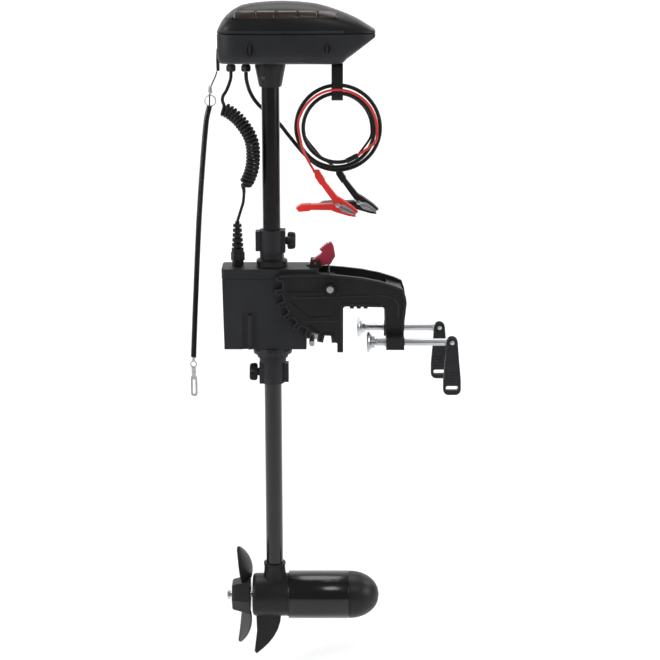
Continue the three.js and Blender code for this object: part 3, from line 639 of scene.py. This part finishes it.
def flat_plate(name, outer, holes, low, high, finish, edge=0.0012):
    """A plate across Y with holes and rounded edges, from outlines of (x, z) pairs."""
    curve = bpy.data.curves.new(name, "CURVE")
    curve.dimensions = "2D"
    curve.fill_mode = "BOTH"
    curve.extrude = (high - low) / 2 - edge
    curve.bevel_depth = edge
    curve.bevel_resolution = 3
    curve.offset = -edge
    for path in (outer, *holes):
        line = curve.splines.new("POLY")
        line.points.add(len(path) - 1)
        for point, (x, z) in zip(line.points, path):
            point.co = (x, z, 0, 1)
        line.use_cyclic_u = True
    source = bpy.data.objects.new(name, curve)
    bpy.context.collection.objects.link(source)
    bpy.context.view_layer.update()
    flat = bpy.data.meshes.new_from_object(source.evaluated_get(bpy.context.evaluated_depsgraph_get()))
    bpy.data.objects.remove(source)
    vertices = [(v.co.x, (low + high) / 2 - v.co.z, v.co.y) for v in flat.vertices]
    faces = [list(polygon.vertices) for polygon in flat.polygons]
    piece = fix_normals(new_piece(name, vertices, faces, finish))
    shade = piece.modifiers.new("shade", "WEIGHTED_NORMAL")
    shade.keep_sharp = False
    return piece


def ring_arc(x, z, radius, start, end, steps):
    """Points on an arc between two angles in degrees."""
    angles = [math.radians(start + (end - start) * i / steps) for i in range(steps + 1)]
    return [(x + radius * math.cos(t), z + radius * math.sin(t)) for t in angles]


def handle(side, pin, y, z):
    """A paddle handle: two cheeks round the tang, a solid grip with a slot, a raised edge and four ribs."""
    foot = z - 0.088
    outer = [*ring_arc(pin, z, 0.0090, 8, 172, 24), (pin - 0.0106, -0.036), (pin - 0.0132, -0.070),
             *ring_arc(pin - 0.0040, foot + 0.0092, 0.0092, 184, 264, 10),
             *ring_arc(pin + 0.0062, foot + 0.0092, 0.0092, 276, 356, 10), (pin + 0.0152, -0.070),
             (pin + 0.0116, -0.036)]
    slot = [*ring_arc(pin + 0.0066, foot + 0.0112, 0.0046, -62, 62, 6),
            *ring_arc(pin - 0.0046, foot + 0.0112, 0.0046, 118, 242, 6)]
    eye = ring_arc(pin, z, 0.0021, 0, 345, 23)
    near = flat_plate(f"{side}_cheek_a", outer, [slot, eye], y - 0.006, y - 0.0029, "charcoal")
    far = flat_plate(f"{side}_cheek_b", outer, [slot, eye], y + 0.0029, y + 0.006, "charcoal")
    low_outer = [(a, b) for a, b in outer if b < z - 0.012]
    low_outer = [(pin - 0.0085, z - 0.0105), *low_outer, (pin + 0.0085, z - 0.0105)]
    core = flat_plate(f"{side}_core", low_outer, [slot], y - 0.0032, y + 0.0032, "charcoal", 0.0004)
    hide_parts(f"{side}_handle")
    pieces = [near, far, core]
    inset = [(pin + 0.0010 + 0.84 * (a - pin - 0.0010), z - 0.047 + 0.93 * (b - z + 0.047))
             for a, b in outer]
    for sign, tag in ((-1, "a"), (1, "b")):
        face = y + sign * 0.0059
        edge = [(a, face, b) for a, b in [*inset, inset[0]]]
        pieces.append(tube(f"{side}_edge_{tag}", edge, 0.0007, "charcoal", 8))
        for index in range(4):
            height = z - 0.0500 - 0.0052 * index
            line = [(pin - 0.0074, face, height), (pin + 0.0010, face, height), (pin + 0.0094, face, height)]
            pieces.append(tube(f"{side}_rib_{tag}{index + 1}", line, 0.0010, "charcoal", 8))
    rivet = [(0, y - 0.0068), (0.0032, y - 0.0068), (0.0036, y - 0.0060), (0.0019, y - 0.0058),
             (0.0019, y + 0.0058), (0.0036, y + 0.0060), (0.0032, y + 0.0068), (0, y + 0.0068)]
    pieces.append(turned(f"{side}_pin", rivet, "y", np.array((pin, 0, z)), "zinc", 32))
    for piece in pieces:
        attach(piece, f"{side}_handle")


# ---------- clamp ribs, rings and grips ----------
PIVOT = (-0.0211, 0.0776)
TOOTH_COUNT = 7
TOOTH_STEP = 15.2
# One tooth's top and the notch after it: angle in degrees and reach from the pivot in millimetres.
TOOTH_SHAPE = ((-9.4, 87.4), (-7.2, 87.6), (-5.6, 87.2), (-5.2, 82), (-4.8, 76.2), (-2.4, 75.4), (0, 75.4),
               (2.4, 75.4), (4.8, 76.2), (5.2, 82), (5.6, 87.2))
RIBS = {
    "top": [(-100, 98.6), (-60, 99.2), (-25, 98.4), (0, 96.4), (31.6, 92.8), (60, 87.2), (82, 80.2),
            (93.6, 74.4), (97.6, 62.4), (99.2, 53.5), (96.6, 23), (95.6, 4)],
    "arm": [(-82, 63), (-20, 64.2), (40, 66), (66, 66.4), (80, 62), (87, 53), (88.6, 40), (88.8, 28)],
    "panel": [(-61, 24), (-40, 24.4), (-7, 24.4)],
    "throat": [(-3.2, -12), (-3.2, 20), (-3.0, 46), (1.5, 51), (14, 51.6), (40, 51), (63, 49.8)],
}


def tooth_rim():
    """The notched edge round the pivot, as points in millimetres."""
    points = []
    for i in range(TOOTH_COUNT):
        middle = 180 - 4 + TOOTH_STEP * i
        for angle, reach in TOOTH_SHAPE:
            t = math.radians(middle + angle)
            points.append((PIVOT[0] / MM + reach * math.cos(t), PIVOT[1] / MM + reach * math.sin(t)))
    return points


def clamp_details():
    for side, sign in (("near", -1), ("far", 1)):
        lines = {name: spline([(x, 0, z) for x, z in path], 8) for name, path in RIBS.items()}
        lines["teeth"] = [np.array((x, 0, z)) for x, z in tooth_rim()]
        for name, path in lines.items():
            points = [(p[0] * MM, sign * 0.0362, p[2] * MM) for p in path]
            # The ribs are real raised rims; their lighter charcoal finish is partly a painted highlight along
            # the rim edges
            rib = tube(f"{side}_rim_{name}", points, 0.0015, "charcoal", 10)
            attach(rib, "clamp")
        for name, inner, outer in (("inner", 0.0057, 0.0088), ("outer", 0.0118, 0.0136)):
            low, high = sorted((sign * 0.0370, sign * (0.0424 if name == "inner" else 0.0386)))
            section = [(inner, low), (outer, low), (outer, high), (inner, high)]
            ring = turned(f"{side}_pivot_{name}", section, "y", np.array((PIVOT[0], 0, PIVOT[1])),
                          "satin_black", 64)
            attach(soften(ring, 0.0004), "clamp")


def wing_knob(name, body, middle, side, turn):
    """A two-lobed wing grip on a round hub."""
    at = np.array((SHAFT_X, 0, middle))
    hub = [(0, 0.0224), (0.0062, 0.0224), (0.0066, 0.0236), (0.0066, 0.0290), (0.0052, 0.0316),
           (0.0050, 0.0352), (0.0034, 0.0362), (0, 0.0362)]
    core = turned(f"{name}_core", [(r, side * h) for r, h in hub], "x", at, "satin_black", 48)
    outline = []
    for i in range(64):
        t = 2 * math.pi * i / 64
        reach = 0.0064 + 0.0092 * abs(math.cos(t)) ** 2.2
        outline.append((reach * math.cos(t), reach * math.sin(t)))
    c, s = math.cos(turn), math.sin(turn)
    vertices, faces = [], []
    layers = ((0.0252, 0.72), (0.0262, 0.93), (0.0290, 1.0), (0.0340, 0.98), (0.0372, 0.9), (0.0385, 0.72))
    for h, scale in layers:
        for a, b in outline:
            y, z = a * scale * c - 0.62 * b * scale * s, a * scale * s + 0.62 * b * scale * c
            vertices.append((SHAFT_X + side * h, y, middle + z))
    for k in range(len(layers) - 1):
        for i in range(64):
            j = (i + 1) % 64
            faces.append([64 * k + i, 64 * k + j, 64 * (k + 1) + j, 64 * (k + 1) + i])
    faces.append(list(range(64))[::-1])
    faces.append([64 * (len(layers) - 1) + i for i in range(64)])
    wing = fix_normals(new_piece(f"{name}_wing", vertices, faces, "satin_black"))
    stem = turned(f"{name}_stem", [(0, side * 0.0172), (0.0029, side * 0.0172), (0.0029, side * 0.0228),
                                   (0, side * 0.0228)], "x", at, "zinc", 24)
    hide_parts(name)
    for piece in (core, wing, stem):
        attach(piece, body)


LEVER_RIBS = ((-0.0370, 0.1356), (-0.0336, 0.1387), (-0.0300, 0.1418), (-0.0264, 0.1446), (-0.0222, 0.1462))


def lever_ribs():
    for index, (x, z) in enumerate(LEVER_RIBS):
        points = [(x, y, z) for y in np.linspace(-0.0062, 0.0062, 9)]
        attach(tube(f"lever_rib_{index + 1}", points, 0.0011, "crimson", 10), "lever")
    points = [(-0.0525, y, 0.1125) for y in (-0.0064, -0.0060, 0.0060, 0.0064)]
    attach(tube("lever_edge", points, 0.0012, "crimson", 10), "lever")


def clip_metal(colour, hinge, y, half_body):
    """Bright jaw plates with teeth, and a rivet, for one clip."""
    turn = math.radians(26)
    scale = 0.85 * MM

    def place(points):
        out = []
        for x, z in points:
            a, b = x * scale, z * scale
            out.append((hinge[0] * MM + a * math.cos(turn) + b * math.sin(turn),
                        hinge[1] * MM - a * math.sin(turn) + b * math.cos(turn)))
        return out

    for half, sign, body in (("upper", 1, half_body), ("lower", -1, "shaft_unit")):
        jaw = [(2, 2.6), (12, 7.0), (24, 5.4), (39.2, 1.9)]
        for k in range(7):
            jaw += [(36.6 - 4.2 * k, 0.3), (34.6 - 4.2 * k, 1.9)]
        points = place([(x, sign * z) for x, z in jaw])
        for face in (-1, 1):
            low, high = sorted((y * MM + face * 0.0078, y * MM + face * 0.0090))
            tag = "a" if face < 0 else "b"
            plate = prism(f"{colour}_jaw_{half}_{tag}", points, "y", low, high, "zinc", 0.0002)
            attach(plate, body)
    (x, z), = place([(0, 0)])
    section = [(0, -0.0098), (0.0030, -0.0098), (0.0038, -0.0090), (0.0026, -0.0086), (0.0026, 0.0086),
               (0.0038, 0.0090), (0.0030, 0.0098), (0, 0.0098)]
    rivet = turned(f"{colour}_rivet", section, "y", np.array((x, y * MM, z)), "zinc", 32)
    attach(rivet, "shaft_unit")


# ---------- cords ----------
# Centrelines in millimetres, each from its upper end down.
CURLY_TOP = [(-177, 0, 419.9), (-178, -1, 408), (-185, -4, 390), (-195, -7, 377), (-198.5, -8, 370),
             (-195.6, -8, 365.4)]
CURLY_AXIS = [(-193, -8, 364), (-182, -8, 358.5), (-169, -9, 349), (-157, -11, 335), (-147.5, -12, 318),
              (-143.5, -12, 301), (-143.5, -12, 284), (-146, -11, 266), (-153, -9, 248), (-158, -7, 239.5)]
CURLY_BOTTOM = [(-158.7, -6.8, 237.4), (-159, -4, 228), (-160.5, -2, 213), (-165, 0, 198), (-170.4, 0, 181.2)]
POWER = [(-153.4, 0, 419.6), (-153.4, 0, 414), (-152.6, 4, 404), (-148, 16, 386), (-138, 26, 368),
         (-120, 31, 350), (-103, 29, 335), (-86, 20, 315)]
COIL_CENTRE = (-10, 0, 331)
COIL_TURNS = 2.35
RED_LEAD = [(-66, -14.5, 305), (-61, -18, 292), (-54, -21, 279), (-48.5, -21, 269.5),
            (-45.5, -21, 263.5)]
BLACK_LEAD = [(-40, 15, 288), (-32, 19, 279), (-22, 22, 272), (-14.5, 21, 266.5), (-11.5, 21, 260.5)]
LANYARD_TOP = [(-199.2, 0, 420.4), (-202, 0, 412), (-208, 0, 399), (-211, 0, 386), (-212, 0, 366)]
LANYARD_AXIS = [(-212.2, 0, 365.5), (-219, 0, 330), (-231, 0, 200), (-240, 0, 60), (-246, 0, -46)]
CURLY_TURNS = 25.375
CURLY_PHASE = 3.142


def in_metres(points):
    return [tuple(c * MM for c in p) for p in points]


def curly_cord():
    """The coil with its upper lead as one wire, and its lower lead as another."""
    lead = even(spline(in_metres(CURLY_TOP[:-2])), 0.003)
    coil = helix(spline(in_metres(CURLY_AXIS)), 0.0090, CURLY_TURNS, 18, CURLY_PHASE)
    tail = even(spline(in_metres(CURLY_BOTTOM)), 0.003)[1:4]
    line = np.concatenate([lead, coil[5:-5], tail])
    for first in (len(lead) - 4, len(line) - 16):
        part = line[first:first + 15]
        for _ in range(12):
            part[1:-1] = 0.25 * part[:-2] + 0.5 * part[1:-1] + 0.25 * part[2:]
            part[:] = even(part, line_length(part) / 14)[:15]
    line = even(line, 0.003)
    upper = tube("curly_wire", line, 0.0027, "rubber", 10)
    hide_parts("curly_cord", "curly_lead_top")
    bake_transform(upper)
    bottom = even(spline(in_metres(CURLY_BOTTOM)), 0.0025)
    lower = tube("curly_wire_end", bottom, 0.0024, "rubber", 10)
    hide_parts("curly_lead_bottom")
    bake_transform(lower)


def cable_turns():
    """The wound part of the power cable: turns that lie beside one another in the ring."""
    centre = np.array(COIL_CENTRE) * MM
    start = math.radians(200)
    points = []
    steps = int(COIL_TURNS * 40)
    for i in range(steps + 1):
        t = i / steps
        angle = start + 2 * math.pi * COIL_TURNS * t
        out = 0.063 + 0.0062 * math.sin(2 * math.pi * (0.31 * t * COIL_TURNS + 0.1)) - 0.004 * t
        side = 0.0072 * (2 * t - 1) + 0.0014 * math.sin(2.2 * angle)
        points.append(centre + np.array((out * math.cos(angle), -side, out * math.sin(angle))))
    return points


def power_cable():
    turns = cable_turns()
    line = even(spline([*in_metres(POWER), *turns[2::3]], 8), 0.004)
    cable = tube("power_wire", line, 0.0031, "rubber", 12)
    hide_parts("power_cable", "cable_coil")
    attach(cable, "shaft_unit")
    tail = line[-6:]
    splice = tube("lead_splice", even(tail, 0.002), 0.0042, "rubber", 16)
    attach(splice, "shaft_unit")
    leads = [
        ("red", RED_LEAD, "red_rubber", 0.0040, -0.0045, 1.0),
        ("black", BLACK_LEAD, "rubber", 0.0037, 0.0050, 0.86),
    ]
    centre = np.array(COIL_CENTRE) * MM
    end = line[-1]
    from_angle = math.atan2(end[2] - centre[2], end[0] - centre[0])
    for colour, route, finish, diameter, side, reach in leads:
        first = np.array(in_metres(route)[0])
        to_angle = math.atan2(first[2] - centre[2], first[0] - centre[0])
        while to_angle <= from_angle + 1.2:
            to_angle += 2 * math.pi
        loop = [np.array(end)]
        for i in range(2, 15):
            t = i / 16
            angle = from_angle + (to_angle - from_angle) * t
            out = 0.0635 * reach + (np.linalg.norm((first - centre)[[0, 2]]) - 0.0635 * reach) * t
            y = end[1] + (first[1] - end[1]) * t + side * math.sin(math.pi * t)
            loop.append(np.array((centre[0] + out * math.cos(angle), y, centre[2] + out * math.sin(angle))))
        points = even(spline([*loop, *in_metres(route)], 10), 0.004)
        wire = tube(f"{colour}_wire", points, diameter / 2, finish, 10)
        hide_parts(f"{colour}_lead")
        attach(wire, "shaft_unit")


def lanyard():
    string = even(spline(in_metres(LANYARD_TOP)), 0.003)
    cord = tube("lanyard_string", string, 0.0011, "rubber", 8)
    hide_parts("lanyard_cord")
    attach(cord, "shaft_unit")
    axis = spline(in_metres(LANYARD_AXIS), 40)
    line = helix(axis, 0.0035, 150, 12)
    coil = tube("lanyard_spring", line, 0.00135, "rubber", 6)
    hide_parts("lanyard_coil")
    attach(coil, "shaft_unit")
    ring_centre = np.array((-0.2105, 0, 0.3745))
    circle = [ring_centre + 0.0085 * np.array((math.cos(t), 0, math.sin(t)))
              for t in np.linspace(0, 2 * math.pi, 60)]
    split = tube("lanyard_ring", circle, 0.0010, "zinc", 8)
    swivel = turned("lanyard_swivel", [(0, 0.385), (0.0024, 0.3855), (0.0034, 0.389), (0.0028, 0.3935),
                                       (0.0036, 0.396), (0.0020, 0.3985), (0, 0.399)], "z",
                    np.array((-0.2102, 0, 0)), "zinc", 32)
    for piece in (split, swivel):
        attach(piece, "shaft_unit")


def stage():
    """A pale floor that curves up into a backdrop."""
    low = cad_box[0][2] - 0.03
    back, bend, steps = 2.0, 1.2, 16
    sweep = [(-12.0, low), (back, low)]
    for i in range(1, steps + 1):
        t = math.pi / 2 * i / steps
        sweep.append((back + bend * math.sin(t), low + bend * (1 - math.cos(t))))
    sweep.append((back + bend, low + 5.0))
    vertices = [(x, y, z) for y, z in sweep for x in (-12, 12)]
    faces = [[2 * i, 2 * i + 1, 2 * i + 3, 2 * i + 2] for i in range(len(sweep) - 1)]
    floor = new_piece("floor", vertices, faces, "charcoal")
    floor.data.materials.clear()
    floor.data.materials.append(finish_material("floor_paint", (0.9, 0.9, 0.9), 0.75, bump=0.02, vary=0.01))


camera_and_light()
finish_cad_nodes()
head()
shaft_and_pod()
propeller()
strain_relief()
for screw_side in ("near", "far"):
    clamp_screw(screw_side)
clamp_details()
wing_knob("upper_knob", "upper_knob", 0.1496, 1, 0.9)
wing_knob("lower_knob", "lower_knob", -0.0708, -1, 0.9)
lever_ribs()
clip_metal("red", (-9, 212), -21, "red_clip")
clip_metal("black", (25, 209), 21, "black_clip")
curly_cord()
power_cable()
lanyard()
stage()
